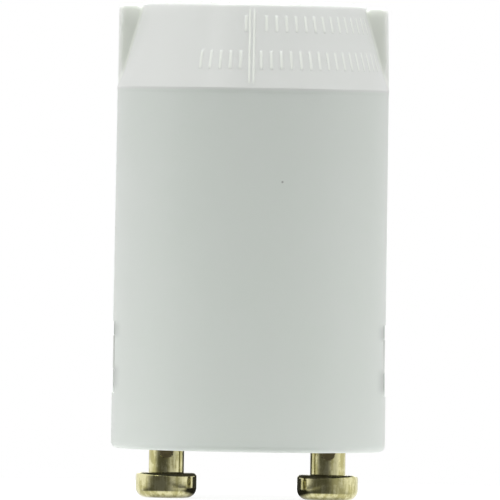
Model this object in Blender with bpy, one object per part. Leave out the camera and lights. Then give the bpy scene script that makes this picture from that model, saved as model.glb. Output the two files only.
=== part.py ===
"""Glow starter for fluorescent lamps: a moulded canister closed by a two-pin base.

All pieces share one frame, in metres. +Z runs up the canister's axis, the two
contact pins stand on the X axis, and Z = 0 is the plane of the pins' end faces.
"""

from math import asin, cos, hypot, pi, radians, sin, sqrt, tan

import bmesh
import bpy
from mathutils import Vector

MM = 0.001

# Canister: round body with draft, conical top, two grip wings
CANISTER_HEIGHT = 35.00 * MM
CONE_HEIGHT = 6.60 * MM
MOUTH_RADIUS = 10.75 * MM
BODY_DRAFT = 0.11 * MM
SHOULDER_LEDGE = 0.06 * MM
SHOULDER_STEP = 0.22 * MM
CONE_TAPER = 1.86 * MM
CANISTER_WALL = 0.95 * MM
CANISTER_TOP_WALL = 1.10 * MM
BASE_LEDGE = 0.20 * MM
MOUTH_ROUND = 0.38 * MM
MOUTH_INNER_ROUND = 0.08 * MM
SHOULDER_ROUND = 0.12 * MM
TOP_ROUND = 0.30 * MM
TOP_INNER_ROUND = 0.50 * MM

WING_THICKNESS = 4.00 * MM
WING_INSET = 0.16 * MM
WING_DROP = 0.25 * MM
WING_CORNER_ROUND = 0.38 * MM
WING_EDGE_ROUND = 0.20 * MM

SEAM_WIDTH = 0.38 * MM
SEAM_HEIGHT = 0.05 * MM

# Latch windows in the canister, counted from its rim
WINDOW_BOTTOM = 4.40 * MM
WINDOW_HEIGHT = 5.55 * MM
WINDOW_WIDTH = 3.00 * MM

# Base: insulating disc with two latch arms, each with a tooth in its window
BASE_THICKNESS = 2.40 * MM
BASE_RECESS = 0.10 * MM
BASE_EDGE_ROUND = 0.15 * MM
ARM_MARGIN = 0.70 * MM
ARM_THICKNESS = 1.00 * MM
ARM_OVERRUN = 0.50 * MM
ARM_TIP_ROUND = 0.30 * MM
TOOTH_SINK = 0.03 * MM
TOOTH_LOWER_SLOPE = 1.90 * MM
TOOTH_UPPER_SLOPE = 1.15 * MM

# Contact pins, turned from brass, with their axes set in from the canister's edge
PIN_INSET = 4.40 * MM
PIN_STANDOUT = 3.85 * MM
PIN_HEAD_DIAMETER = 4.80 * MM
PIN_HEAD_HEIGHT = 1.97 * MM
PIN_END_ROUND = 0.65 * MM
PIN_SHOULDER_ROUND = 0.25 * MM
PIN_NECK_DIAMETER = 2.78 * MM
PIN_SPIGOT_STEP = 0.29 * MM
PIN_FLARE_LIP = 0.50 * MM
PIN_FLARE_HEIGHT = 0.45 * MM
PIN_FLARE_ROUND = 0.15 * MM
PIN_BORE_FLOOR = 2.40 * MM
STAKE_BALL_RADIUS = 0.80 * MM
STAKE_DEPTH = 0.35 * MM

# Glow bulb, with heights counted from the bottom of its pinch seal
BULB_LIFT = 5.60 * MM
BULB_RADIUS = 4.00 * MM
BULB_GLASS = 0.60 * MM
BULB_HEIGHT = 19.50 * MM
BULB_CLEARANCE = 0.79 * MM
PINCH_HEIGHT = 4.20 * MM
PINCH_HALF_WIDTH = 3.20 * MM
PINCH_HALF_DEPTH = 1.15 * MM
PINCH_TO_TUBE = 2.80 * MM
TIP_RADIUS = 0.75 * MM
TIP_HEIGHT = 1.40 * MM
TIP_POINT_RADIUS = 0.19 * MM

# Electrodes and the bimetal strip
POST_SPACING = 3.20 * MM
POST_DIAMETER = 0.50 * MM
FIXED_POST_HEIGHT = 10.50 * MM
STRIP_WIDTH = 1.60 * MM
STRIP_THICKNESS = 0.25 * MM
STRIP_RISE = 1.60 * MM
STRIP_WELD = 1.80 * MM
STRIP_BEND = 12.00 * MM
STRIP_END = 7.80 * MM
CONTACT_GAP = 0.50 * MM

# Capacitor across the pins
CAPACITOR_LIFT = 5.00 * MM
CAPACITOR_WIDTH = 9.00 * MM
CAPACITOR_DEPTH = 4.60 * MM
CAPACITOR_HEIGHT = 11.00 * MM
CAPACITOR_ROUND = 1.50 * MM
CAPACITOR_LEAD_SPACING = 5.00 * MM
CAPACITOR_LEAD_DIAMETER = 0.45 * MM
CAPACITOR_LEAD_DEPTH = 1.20 * MM

# Clearances between neighbours
SEAT_GAP = 0.10 * MM
LATCH_GAP = 0.10 * MM
SEAL_GAP = 0.10 * MM
LEAD_GAP = 0.06 * MM
BORE_GAP = 0.115 * MM

# Share of its rise that a lead spends turning out of the upright
LEAD_SWING = 0.6

# Share of the free depth beside the capacitor that lies on the canister's side of it
CAPACITOR_WALL_SHARE = 0.26

# Facets
CANISTER_SEGMENTS = 96
PIN_SEGMENTS = 40
BULB_SEGMENTS = 32
WIRE_SIDES = 10
LEAD_STEPS = 12
ROUND_STEPS = 3
MERGE_DISTANCE = 0.0005 * MM
SMOOTH_ANGLE = radians(32)

# Heights that several pieces share
RIM_HEIGHT = PIN_STANDOUT
CANISTER_TOP = RIM_HEIGHT + CANISTER_HEIGHT
SHOULDER_HEIGHT = CANISTER_TOP - CONE_HEIGHT
WINDOW_FOOT = RIM_HEIGHT + WINDOW_BOTTOM
WINDOW_HEAD = WINDOW_FOOT + WINDOW_HEIGHT
BASE_BOTTOM = RIM_HEIGHT + BASE_RECESS
BASE_TOP = BASE_BOTTOM + BASE_THICKNESS
LEDGE_HEIGHT = BASE_TOP + SEAT_GAP
BULB_BOTTOM = BASE_TOP + BULB_LIFT
CAPACITOR_BOTTOM = BASE_TOP + CAPACITOR_LIFT
PIN_TOP = BASE_TOP + SEAT_GAP + PIN_FLARE_HEIGHT

# Radii that follow from the mouth's, and the room that they leave inside
BODY_TOP_RADIUS = MOUTH_RADIUS - BODY_DRAFT
SHOULDER_RADIUS = BODY_TOP_RADIUS + SHOULDER_LEDGE
CONE_TOP_RADIUS = SHOULDER_RADIUS - CONE_TAPER
MOUTH_BORE_RADIUS = MOUTH_RADIUS - CANISTER_WALL + BASE_LEDGE
CAVITY_RADIUS = BODY_TOP_RADIUS - CANISTER_WALL
PIN_SPACING = 2 * (MOUTH_RADIUS - PIN_INSET)
PIN_SPIGOT_RADIUS = PIN_NECK_DIAMETER / 2 - PIN_SPIGOT_STEP
PIN_BORE_RADIUS = (POST_DIAMETER + CAPACITOR_LEAD_DIAMETER) / 2 + LEAD_GAP + BORE_GAP

# The bulb stands by the back wall, and the capacitor in the room left in front of it
BULB_OFFSET = CAVITY_RADIUS - BULB_CLEARANCE - BULB_RADIUS
CAPACITOR_REACH = sqrt(CAVITY_RADIUS**2 - (CAPACITOR_WIDTH / 2) ** 2)
FREE_DEPTH = CAPACITOR_REACH + BULB_OFFSET - BULB_RADIUS - CAPACITOR_DEPTH
CAPACITOR_OFFSET = CAPACITOR_REACH - FREE_DEPTH * CAPACITOR_WALL_SHARE - CAPACITOR_DEPTH / 2


def body_radius(height):
    """Outer radius of the canister's body, which widens towards its mouth."""
    share = (height - RIM_HEIGHT) / (SHOULDER_HEIGHT - SHOULDER_STEP - RIM_HEIGHT)
    return MOUTH_RADIUS + (BODY_TOP_RADIUS - MOUTH_RADIUS) * share


def cone_radius(height):
    """Outer radius of the canister's conical top."""
    share = (height - SHOULDER_HEIGHT) / CONE_HEIGHT
    return SHOULDER_RADIUS + (CONE_TOP_RADIUS - SHOULDER_RADIUS) * share


def material(name, colour, roughness, metallic=0.0, transmission=0.0):
    """Principled material from a display colour of 0 to 255 in each channel."""
    finish = bpy.data.materials.new(name)
    finish.use_nodes = True
    shader = finish.node_tree.nodes["Principled BSDF"]
    linear = [(channel / 255) ** 2.2 for channel in colour]
    shader.inputs["Base Color"].default_value = (*linear, 1.0)
    shader.inputs["Roughness"].default_value = roughness
    shader.inputs["Metallic"].default_value = metallic
    shader.inputs["Transmission Weight"].default_value = transmission
    return finish


def place(name, shape, finish=None):
    """Turns a bmesh into a named object with outward faces and smooth rounds."""
    bmesh.ops.remove_doubles(shape, verts=shape.verts, dist=MERGE_DISTANCE)
    bmesh.ops.recalc_face_normals(shape, faces=shape.faces)
    mesh = bpy.data.meshes.new(name)
    shape.to_mesh(mesh)
    shape.free()
    mesh.shade_smooth()
    mesh.set_sharp_from_angle(angle=SMOOTH_ANGLE)
    if finish:
        mesh.materials.append(finish)
    thing = bpy.data.objects.new(name, mesh)
    bpy.context.collection.objects.link(thing)
    return thing


def rounded(corners):
    """Outline through (x, z, radius) corners, with an arc in place of each round corner."""
    outline = []
    for index, (x, z, radius) in enumerate(corners):
        corner = Vector((x, z))
        if radius == 0:
            outline.append(corner)
            continue
        before = (Vector(corners[index - 1][:2]) - corner).normalized()
        after = (Vector(corners[(index + 1) % len(corners)][:2]) - corner).normalized()
        half_angle = before.angle(after) / 2
        reach = radius / tan(half_angle)
        centre = corner + (before + after).normalized() * (radius / sin(half_angle))
        start = corner + before * reach - centre
        end = corner + after * reach - centre
        for step in range(ROUND_STEPS + 1):
            spoke = start.lerp(end, step / ROUND_STEPS).normalized()
            outline.append(centre + spoke * radius)
    return outline


def lathe(name, outline, segments, finish=None):
    """Solid turned about Z from an outline that starts and ends on the axis."""
    shape = bmesh.new()
    points = [shape.verts.new((point.x, 0, point.y)) for point in outline]
    edges = [shape.edges.new(pair) for pair in zip(points, points[1:])]
    bmesh.ops.spin(
        shape,
        geom=points + edges,
        cent=(0, 0, 0),
        axis=(0, 0, 1),
        angle=2 * pi,
        steps=segments,
        use_merge=True,
    )
    return place(name, shape, finish)


def loft(name, sections, finish=None):
    """Solid skinned over closed sections with the same number of points each."""
    shape = bmesh.new()
    rings = [[shape.verts.new(point) for point in section] for section in sections]
    for lower, upper in zip(rings, rings[1:]):
        for index in range(len(lower)):
            following = (index + 1) % len(lower)
            shape.faces.new((lower[index], lower[following], upper[following], upper[index]))
    shape.faces.new(rings[0][::-1])
    shape.faces.new(rings[-1])
    return place(name, shape, finish)


def bent_slab(name, outline_at, width, edge_round=0.0):
    """Slab with flat parallel sides whose (radius, height) outline is bent round the Z axis.

    outline_at gives the outline for an inset, which draws it in where the slab's edges are round.
    """
    flat_half = width / 2 - edge_round
    stations = []
    if edge_round:
        for step in range(ROUND_STEPS):
            turn = pi / 2 * (1 - step / ROUND_STEPS)
            stations.append((flat_half + edge_round * sin(turn), edge_round * (1 - cos(turn))))
    stations.append((flat_half, 0.0))
    stations.append((flat_half / 2, 0.0))
    across = [(-y, inset) for y, inset in stations] + [(0.0, 0.0)] + stations[::-1]
    sections = []
    for y, inset in across:
        sections.append([(sqrt(radius**2 - y**2), y, height) for radius, height in outline_at(inset)])
    return loft(name, sections)


def cylinder(name, radius, bottom, top, segments):
    """Plain round bar along Z."""
    return lathe(
        name, rounded([(0, bottom, 0), (radius, bottom, 0), (radius, top, 0), (0, top, 0)]), segments
    )


def combine(target, tool, operation):
    """Boolean of a guide object with the target; the guide stays as wire only."""
    step = target.modifiers.new(tool.name, "BOOLEAN")
    step.operation = operation
    step.object = tool
    tool.hide_render = True
    tool.display_type = "WIRE"


def both_sides(make):
    """Makes a guide at +X and its twin at -X."""
    right = make("right")
    left = make("left")
    left.rotation_euler.z = pi
    return right, left


def make_wing(side):
    """Grip wing: bent to the body's round, standing out from the cone."""
    inside_wall = CANISTER_WALL / 2
    foot = SHOULDER_HEIGHT - SHOULDER_STEP - inside_wall

    def outline_at(inset):
        reach = SHOULDER_RADIUS - WING_INSET - inset
        top = CANISTER_TOP - WING_DROP - inset
        corners = [
            (body_radius(foot) - inside_wall, foot, 0),
            (reach, foot, 0),
            (reach, top, WING_CORNER_ROUND),
            (cone_radius(top) - inside_wall, top, 0),
            (cone_radius(SHOULDER_HEIGHT) - inside_wall, SHOULDER_HEIGHT, 0),
        ]
        return rounded(corners)

    return bent_slab(f"wing_guide_{side}", outline_at, WING_THICKNESS, WING_EDGE_ROUND)


def make_seam(side):
    """Mould seam: a low narrow rib up the cone."""
    bottom = SHOULDER_HEIGHT + SHOULDER_ROUND
    top = CANISTER_TOP - TOP_ROUND
    half = SEAM_WIDTH / 2
    sections = []
    for height in (bottom, top):
        outer = cone_radius(height) + SEAM_HEIGHT
        inner = cone_radius(height) - CANISTER_WALL / 2
        sections.append([(half, -outer, height), (half, -inner, height),
                         (-half, -inner, height), (-half, -outer, height)])
    return loft(f"seam_guide_{side}", sections)


def make_window(side):
    """Cutter for a latch window."""
    inner = CAVITY_RADIUS - CANISTER_WALL
    outer = MOUTH_RADIUS + CANISTER_WALL

    def outline_at(inset):
        return [(inner, WINDOW_FOOT), (outer, WINDOW_FOOT), (outer, WINDOW_HEAD), (inner, WINDOW_HEAD)]

    return bent_slab(f"window_guide_{side}", outline_at, WINDOW_WIDTH)


def make_canister(finish):
    """Moulded can: body, cone, flat end, ledge for the base, wings, seam and latch windows."""
    ceiling = CANISTER_TOP - CANISTER_TOP_WALL
    level_wall = CANISTER_WALL * hypot(1, CONE_TAPER / CONE_HEIGHT)
    corners = [
        (0, CANISTER_TOP, 0),
        (CONE_TOP_RADIUS, CANISTER_TOP, TOP_ROUND),
        (SHOULDER_RADIUS, SHOULDER_HEIGHT, SHOULDER_ROUND),
        (BODY_TOP_RADIUS, SHOULDER_HEIGHT - SHOULDER_STEP, 0),
        (MOUTH_RADIUS, RIM_HEIGHT, MOUTH_ROUND),
        (MOUTH_BORE_RADIUS, RIM_HEIGHT, MOUTH_INNER_ROUND),
        (MOUTH_BORE_RADIUS, LEDGE_HEIGHT, 0),
        (body_radius(LEDGE_HEIGHT) - CANISTER_WALL, LEDGE_HEIGHT, 0),
        (CAVITY_RADIUS, SHOULDER_HEIGHT - SHOULDER_STEP, 0),
        (cone_radius(ceiling) - level_wall, ceiling, TOP_INNER_ROUND),
        (0, ceiling, 0),
    ]
    canister = lathe("canister", rounded(corners), CANISTER_SEGMENTS, finish)
    for wing in both_sides(make_wing):
        combine(canister, wing, "UNION")
    for seam in both_sides(make_seam):
        combine(canister, seam, "UNION")
    for window in both_sides(make_window):
        combine(canister, window, "DIFFERENCE")
    return canister


def arm_radius():
    """Outer radius of a latch arm, clear of the canister's wall at the arm's tip."""
    return body_radius(WINDOW_HEAD + ARM_OVERRUN) - CANISTER_WALL - LATCH_GAP


def make_arm(side):
    """Latch arm: a springy tongue standing on the base along the canister's wall."""
    outer = arm_radius()
    inner = outer - ARM_THICKNESS
    bottom = BASE_BOTTOM + BASE_THICKNESS / 2
    top = WINDOW_HEAD + ARM_OVERRUN

    def outline_at(inset):
        return rounded([(inner, bottom, 0), (outer, bottom, 0), (outer, top, ARM_TIP_ROUND), (inner, top, 0)])

    return bent_slab(f"arm_guide_{side}", outline_at, WINDOW_WIDTH + 2 * ARM_MARGIN)


def make_tooth(side):
    """Latch tooth: fills the window, with a slope above and below its face."""
    root = arm_radius()
    core = root - ARM_THICKNESS / 2
    face_bottom = WINDOW_FOOT + TOOTH_LOWER_SLOPE
    face_top = WINDOW_HEAD - TOOTH_UPPER_SLOPE
    face = body_radius(face_bottom) - TOOTH_SINK

    def outline_at(inset):
        return [
            (core, WINDOW_FOOT + LATCH_GAP),
            (root, WINDOW_FOOT + LATCH_GAP),
            (face, face_bottom),
            (face, face_top),
            (root, WINDOW_HEAD - LATCH_GAP),
            (core, WINDOW_HEAD - LATCH_GAP),
        ]

    return bent_slab(f"tooth_guide_{side}", outline_at, WINDOW_WIDTH - 2 * LATCH_GAP)


def make_base(finish):
    """Insulating base: disc in the canister's mouth, latch arms with teeth, pin holes."""
    radius = MOUTH_BORE_RADIUS - SEAT_GAP
    corners = [
        (0, BASE_TOP, 0),
        (radius, BASE_TOP, BASE_EDGE_ROUND),
        (radius, BASE_BOTTOM, BASE_EDGE_ROUND),
        (0, BASE_BOTTOM, 0),
    ]
    base = lathe("base_disc", rounded(corners), CANISTER_SEGMENTS, finish)
    for arm in both_sides(make_arm):
        combine(base, arm, "UNION")
    for tooth in both_sides(make_tooth):
        combine(base, tooth, "UNION")
    for side, x in (("right", PIN_SPACING / 2), ("left", -PIN_SPACING / 2)):
        hole = cylinder(
            f"pin_hole_guide_{side}",
            PIN_SPIGOT_RADIUS + SEAT_GAP,
            BASE_BOTTOM - BASE_THICKNESS,
            BASE_TOP + BASE_THICKNESS,
            PIN_SEGMENTS,
        )
        hole.location.x = x
        combine(base, hole, "DIFFERENCE")
    return base


def make_pin(name, x, finish):
    """Contact pin: head, neck, shouldered spigot flared over the base, bore for the leads."""
    head = PIN_HEAD_DIAMETER / 2
    neck = PIN_NECK_DIAMETER / 2
    flare = PIN_SPIGOT_RADIUS + PIN_FLARE_LIP
    shoulder = BASE_BOTTOM - SEAT_GAP
    corners = [
        (0, 0, 0),
        (head, 0, PIN_END_ROUND),
        (head, PIN_HEAD_HEIGHT, PIN_SHOULDER_ROUND),
        (neck, PIN_HEAD_HEIGHT, 0),
        (neck, shoulder, 0),
        (PIN_SPIGOT_RADIUS, shoulder, 0),
        (PIN_SPIGOT_RADIUS, BASE_TOP + SEAT_GAP, 0),
        (flare, BASE_TOP + SEAT_GAP, 0),
        (flare, PIN_TOP, PIN_FLARE_ROUND),
        (PIN_BORE_RADIUS, PIN_TOP, PIN_FLARE_ROUND),
        (PIN_BORE_RADIUS, PIN_BORE_FLOOR + PIN_BORE_RADIUS / 2, 0),
        (0, PIN_BORE_FLOOR, 0),
    ]
    pin = lathe(name, rounded(corners), PIN_SEGMENTS, finish)
    pin.location.x = x
    for facing, side in ((-1, "front"), (1, "back")):
        shape = bmesh.new()
        bmesh.ops.create_icosphere(shape, subdivisions=3, radius=STAKE_BALL_RADIUS)
        ball = place(f"stake_guide_{name}_{side}", shape)
        reach = neck + STAKE_BALL_RADIUS - STAKE_DEPTH
        ball.location = (x, facing * reach, RIM_HEIGHT)
        combine(pin, ball, "DIFFERENCE")
    return pin


def oval(height, half_width, half_depth, squareness):
    """Closed superellipse at one height, round at squareness 2 and boxy above it."""
    points = []
    for index in range(BULB_SEGMENTS):
        turn = 2 * pi * index / BULB_SEGMENTS
        x = abs(cos(turn)) ** (2 / squareness) * half_width
        y = abs(sin(turn)) ** (2 / squareness) * half_depth
        points.append((x if cos(turn) >= 0 else -x, y if sin(turn) >= 0 else -y, height))
    return points


def funnel(start, end, half_width, half_depth, radius):
    """Sections that lead from a flat seal to a round tube."""
    steps = 2 * ROUND_STEPS
    sections = []
    for step in range(steps + 1):
        share = step / steps
        ease = share * share * (3 - 2 * share)
        sections.append(oval(
            start + (end - start) * share,
            half_width + (radius - half_width) * ease,
            half_depth + (radius - half_depth) * ease,
            4 - 2 * ease,
        ))
    return sections


def dome(centre, radius, closing_radius):
    """Sections of a round dome that closes to a given radius."""
    last = asin(sqrt(1 - (closing_radius / radius) ** 2))
    steps = 2 * ROUND_STEPS
    sections = []
    for step in range(1, steps + 1):
        turn = last * step / steps
        sections.append(oval(centre + radius * sin(turn), radius * cos(turn), radius * cos(turn), 2))
    return sections


def make_envelope(finish):
    """Glass bulb: pinch seal, tube, dome and exhaust tip, hollow, with a way through for each post."""
    tube_start = PINCH_HEIGHT + PINCH_TO_TUBE
    dome_centre = BULB_HEIGHT - TIP_HEIGHT - BULB_RADIUS
    outer = [oval(0, PINCH_HALF_WIDTH, PINCH_HALF_DEPTH, 4)]
    outer += funnel(PINCH_HEIGHT, tube_start, PINCH_HALF_WIDTH, PINCH_HALF_DEPTH, BULB_RADIUS)
    outer.append(oval(dome_centre, BULB_RADIUS, BULB_RADIUS, 2))
    outer += dome(dome_centre, BULB_RADIUS, TIP_RADIUS)
    tip_middle = (TIP_RADIUS + TIP_POINT_RADIUS) / 2
    outer.append(oval(BULB_HEIGHT - TIP_HEIGHT / 2, tip_middle, tip_middle, 2))
    outer.append(oval(BULB_HEIGHT, TIP_POINT_RADIUS, TIP_POINT_RADIUS, 2))
    envelope = loft("glow_bulb_envelope", outer, finish)
    envelope.location = (0, BULB_OFFSET, BULB_BOTTOM)

    hollow_radius = BULB_RADIUS - BULB_GLASS
    hollow_width = PINCH_HALF_WIDTH - BULB_GLASS
    hollow = funnel(
        PINCH_HEIGHT + BULB_GLASS, tube_start + BULB_GLASS, hollow_width, BULB_GLASS, hollow_radius
    )
    hollow.append(oval(dome_centre, hollow_radius, hollow_radius, 2))
    hollow += dome(dome_centre, hollow_radius, BULB_GLASS)
    cavity = loft("cavity_guide", hollow)
    cavity.location = envelope.location
    combine(envelope, cavity, "DIFFERENCE")
    for side, x in (("right", POST_SPACING / 2), ("left", -POST_SPACING / 2)):
        way = cylinder(
            f"post_way_guide_{side}",
            POST_DIAMETER / 2 + SEAL_GAP,
            -PINCH_HEIGHT / 2,
            tube_start,
            BULB_SEGMENTS // 2,
        )
        way.location = envelope.location + Vector((x, 0, 0))
        combine(envelope, way, "DIFFERENCE")
    return envelope


def bezier(start, start_handle, end_handle, end, share):
    """Place and direction on a cubic Bezier curve, share going from 0 to 1."""
    rest = 1 - share
    place_there = (
        start * rest**3
        + start_handle * (3 * rest**2 * share)
        + end_handle * (3 * rest * share**2)
        + end * share**3
    )
    direction = (
        (start_handle - start) * rest**2
        + (end_handle - start_handle) * (2 * rest * share)
        + (end - end_handle) * share**2
    )
    return place_there, direction.normalized()


def lead(name, side, pin_y, foot, top, diameter, finish):
    """Round wire that rises out of a pin's bore, swings over to a foot and runs up to a top height."""
    up = Vector((0, 0, 1))
    bore_place = Vector((side * PIN_SPACING / 2, pin_y, PIN_BORE_FLOOR + 2 * PIN_BORE_RADIUS))
    leaving = Vector((bore_place.x, bore_place.y, PIN_TOP))
    handle = up * (foot.z - PIN_TOP) * LEAD_SWING
    path = [(bore_place, up)]
    for step in range(LEAD_STEPS + 1):
        path.append(bezier(leaving, leaving + handle, foot - handle, foot, step / LEAD_STEPS))
    path.append((Vector((foot.x, foot.y, top)), up))
    across = up.cross(foot - leaving).normalized()
    sections = []
    for centre, direction in path:
        other = direction.cross(across)
        ring = []
        for index in range(WIRE_SIDES):
            turn = 2 * pi * index / WIRE_SIDES
            ring.append(centre + (across * cos(turn) + other * sin(turn)) * (diameter / 2))
        sections.append(ring)
    return loft(name, sections, finish)


def make_electrodes(wire_finish, strip_finish):
    """Fixed post, bimetal post and the U-shaped strip that leans towards the fixed post."""
    half = POST_SPACING / 2
    bore_place = POST_DIAMETER / 2 + LEAD_GAP
    fixed_foot = Vector((-half, BULB_OFFSET, BULB_BOTTOM))
    bimetal_foot = Vector((half, BULB_OFFSET, BULB_BOTTOM))
    strip_foot = PINCH_HEIGHT + STRIP_RISE
    lead("fixed_electrode", -1, bore_place, fixed_foot,
         BULB_BOTTOM + FIXED_POST_HEIGHT, POST_DIAMETER, wire_finish)
    lead("bimetal_post", 1, bore_place, bimetal_foot,
         BULB_BOTTOM + strip_foot + STRIP_WELD, POST_DIAMETER, wire_finish)

    thick = STRIP_THICKNESS / 2
    welded_leg = half - POST_DIAMETER / 2 - SEAT_GAP - thick
    free_leg = -half + POST_DIAMETER / 2 + CONTACT_GAP + thick
    bend_radius = (welded_leg - free_leg) / 2
    bend_x = (welded_leg + free_leg) / 2
    path = [(Vector((welded_leg, strip_foot)), Vector((1, 0)))]
    bend_steps = 4 * ROUND_STEPS
    for step in range(bend_steps + 1):
        turn = pi * step / bend_steps
        spoke = Vector((cos(turn), sin(turn)))
        path.append((Vector((bend_x, STRIP_BEND)) + spoke * bend_radius, spoke))
    path.append((Vector((free_leg, STRIP_END)), Vector((-1, 0))))
    sections = []
    for point, outward in path:
        outer = point + outward * thick
        inner = point - outward * thick
        sections.append([
            (outer.x, -STRIP_WIDTH / 2, outer.y),
            (outer.x, STRIP_WIDTH / 2, outer.y),
            (inner.x, STRIP_WIDTH / 2, inner.y),
            (inner.x, -STRIP_WIDTH / 2, inner.y),
        ])
    strip = loft("bimetal_strip", sections, strip_finish)
    strip.location = (0, BULB_OFFSET, BULB_BOTTOM)
    return strip


def make_capacitor(body_finish, wire_finish):
    """Dipped capacitor body with a lead out of its underside on each side."""
    shape = bmesh.new()
    bmesh.ops.create_cube(shape, size=1.0)
    bmesh.ops.scale(shape, vec=(CAPACITOR_WIDTH, CAPACITOR_DEPTH, CAPACITOR_HEIGHT), verts=shape.verts)
    bmesh.ops.translate(shape, vec=(0, 0, CAPACITOR_HEIGHT / 2), verts=shape.verts)
    body = place("capacitor_body", shape, body_finish)
    body.location = (0, -CAPACITOR_OFFSET, CAPACITOR_BOTTOM)
    dip = body.modifiers.new("dip_round", "BEVEL")
    dip.width = CAPACITOR_ROUND
    dip.segments = ROUND_STEPS

    bore_place = -(CAPACITOR_LEAD_DIAMETER / 2 + LEAD_GAP)
    for side, word in ((1, "right"), (-1, "left")):
        x = side * CAPACITOR_LEAD_SPACING / 2
        socket = cylinder(
            f"lead_socket_guide_{word}",
            CAPACITOR_LEAD_DIAMETER / 2 + SEAL_GAP,
            -CAPACITOR_LEAD_DEPTH,
            CAPACITOR_LEAD_DEPTH,
            BULB_SEGMENTS // 2,
        )
        socket.location = body.location + Vector((x, 0, 0))
        combine(body, socket, "DIFFERENCE")
        foot = Vector((x, -CAPACITOR_OFFSET, CAPACITOR_BOTTOM))
        lead(f"capacitor_lead_{word}", side, bore_place, foot,
             CAPACITOR_BOTTOM + CAPACITOR_LEAD_DEPTH - SEAL_GAP, CAPACITOR_LEAD_DIAMETER, wire_finish)
    return body


def build_starter():
    """Clears the scene and makes every piece of the starter."""
    for old in list(bpy.data.objects):
        bpy.data.objects.remove(old, do_unlink=True)

    canister_plastic = material("canister_plastic", (214, 219, 213), 0.38)
    base_plastic = material("base_plastic", (206, 208, 203), 0.45)
    brass = material("brass", (196, 180, 116), 0.25, metallic=1.0)
    glass = material("glass", (240, 244, 244), 0.05, transmission=1.0)
    nickel_wire = material("nickel_wire", (176, 176, 172), 0.35, metallic=1.0)
    bimetal = material("bimetal", (150, 150, 146), 0.4, metallic=1.0)
    capacitor_resin = material("capacitor_resin", (176, 120, 58), 0.4)

    make_canister(canister_plastic)
    make_base(base_plastic)
    make_pin("contact_pin_left", -PIN_SPACING / 2, brass)
    make_pin("contact_pin_right", PIN_SPACING / 2, brass)
    make_envelope(glass)
    make_electrodes(nickel_wire, bimetal)
    make_capacitor(capacitor_resin, nickel_wire)


build_starter()
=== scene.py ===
"""Looks of a glow starter for fluorescent lamps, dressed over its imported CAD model.

Lengths are in metres. +Z runs up the canister's axis, the contact pins stand on the
X axis, Z = 0 is the plane of their end faces, and -Y faces the camera.
"""

from math import asin, atan2, cos, hypot, pi, radians, sin, sqrt, tan

import bmesh
import bpy
from mathutils import Matrix, Quaternion, Vector


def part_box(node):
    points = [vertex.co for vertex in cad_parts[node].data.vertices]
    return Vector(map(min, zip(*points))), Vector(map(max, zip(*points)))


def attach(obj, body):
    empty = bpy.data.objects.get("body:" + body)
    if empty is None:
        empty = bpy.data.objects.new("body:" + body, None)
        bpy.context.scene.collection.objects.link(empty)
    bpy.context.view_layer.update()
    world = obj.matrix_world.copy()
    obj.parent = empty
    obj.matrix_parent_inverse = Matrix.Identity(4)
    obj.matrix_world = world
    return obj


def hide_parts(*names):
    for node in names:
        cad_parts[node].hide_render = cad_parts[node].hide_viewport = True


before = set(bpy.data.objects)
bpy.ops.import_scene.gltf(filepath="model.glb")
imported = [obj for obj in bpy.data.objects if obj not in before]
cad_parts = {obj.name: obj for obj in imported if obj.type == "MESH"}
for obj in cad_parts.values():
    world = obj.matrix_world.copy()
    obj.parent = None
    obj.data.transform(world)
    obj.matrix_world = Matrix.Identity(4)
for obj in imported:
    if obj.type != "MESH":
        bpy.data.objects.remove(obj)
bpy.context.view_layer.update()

MM = 0.001

# Canister, as far as its box doesn't say
CONE_HEIGHT = 6.60 * MM
BODY_DRAFT = 0.085 * MM
SHOULDER_LEDGE = 0.035 * MM
SHOULDER_STEP = 0.42 * MM
CONE_TAPER = 1.86 * MM
WALL = 0.95 * MM
TOP_WALL = 1.10 * MM
BASE_LEDGE = 0.20 * MM
MOUTH_ROUND = 0.50 * MM
MOUTH_INNER_ROUND = 0.06 * MM
SHOULDER_ROUND = 0.14 * MM
STEP_ROUND = 0.08 * MM
TOP_ROUND = 0.30 * MM
TOP_INNER_ROUND = 0.50 * MM
LEDGE_DEPTH = 2.60 * MM

WING_HALF_WIDTH = 2.00 * MM
WING_DRAFT = 0.03 * MM
WING_TOP_INSET = {"left": 0.06 * MM, "right": 0.18 * MM}
WING_FOOT_INSET = {"left": 0.06 * MM, "right": 0.03 * MM}
WING_DROP = 0.14 * MM
WING_CORNER_ROUND = 0.38 * MM
WING_EDGE_ROUND = 0.22 * MM
WING_FILLET = 0.30 * MM
WING_TOP_FILLET = 0.05 * MM
# Depths between which a wing goes over from a soft swell to its full form, and a round's share of its depth
WING_SOFT = 0.30 * MM
WING_FULL = 0.65 * MM
WING_ROUND_SHARE = 0.45

WINDOW_HALF_WIDTH = 1.50 * MM
WINDOW_BOTTOM = 4.40 * MM
WINDOW_HEIGHT = 5.55 * MM
WINDOW_EDGE_ROUND = 0.07 * MM
# How far the window cut slants, and how its slant runs out: (where it ends, over what run)
WINDOW_SLANT = 0.40 * MM
SLANT_ROUND = (0.46, 0.28)
SLANT_BELOW = (1.5 * MM, 1.4 * MM)
SLANT_ABOVE = (1.9 * MM, 1.8 * MM)

# Push of the right latch on the wall, down to its full height and round to an angle over a run
BULGE = 0.07 * MM
BULGE_TOP = 14.0 * MM
BULGE_FULL = 7.0 * MM
BULGE_ROUND = (0.78, 0.30)

SEAM_SHIFT = -0.17 * MM
SEAM_OFFSET = 0.17 * MM
SEAM_WIDTH = 0.19 * MM
SEAM_HEIGHT = 0.055 * MM
SEAM_FOOT = 0.08 * MM
SEAM_HEAD = 0.20 * MM

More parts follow.
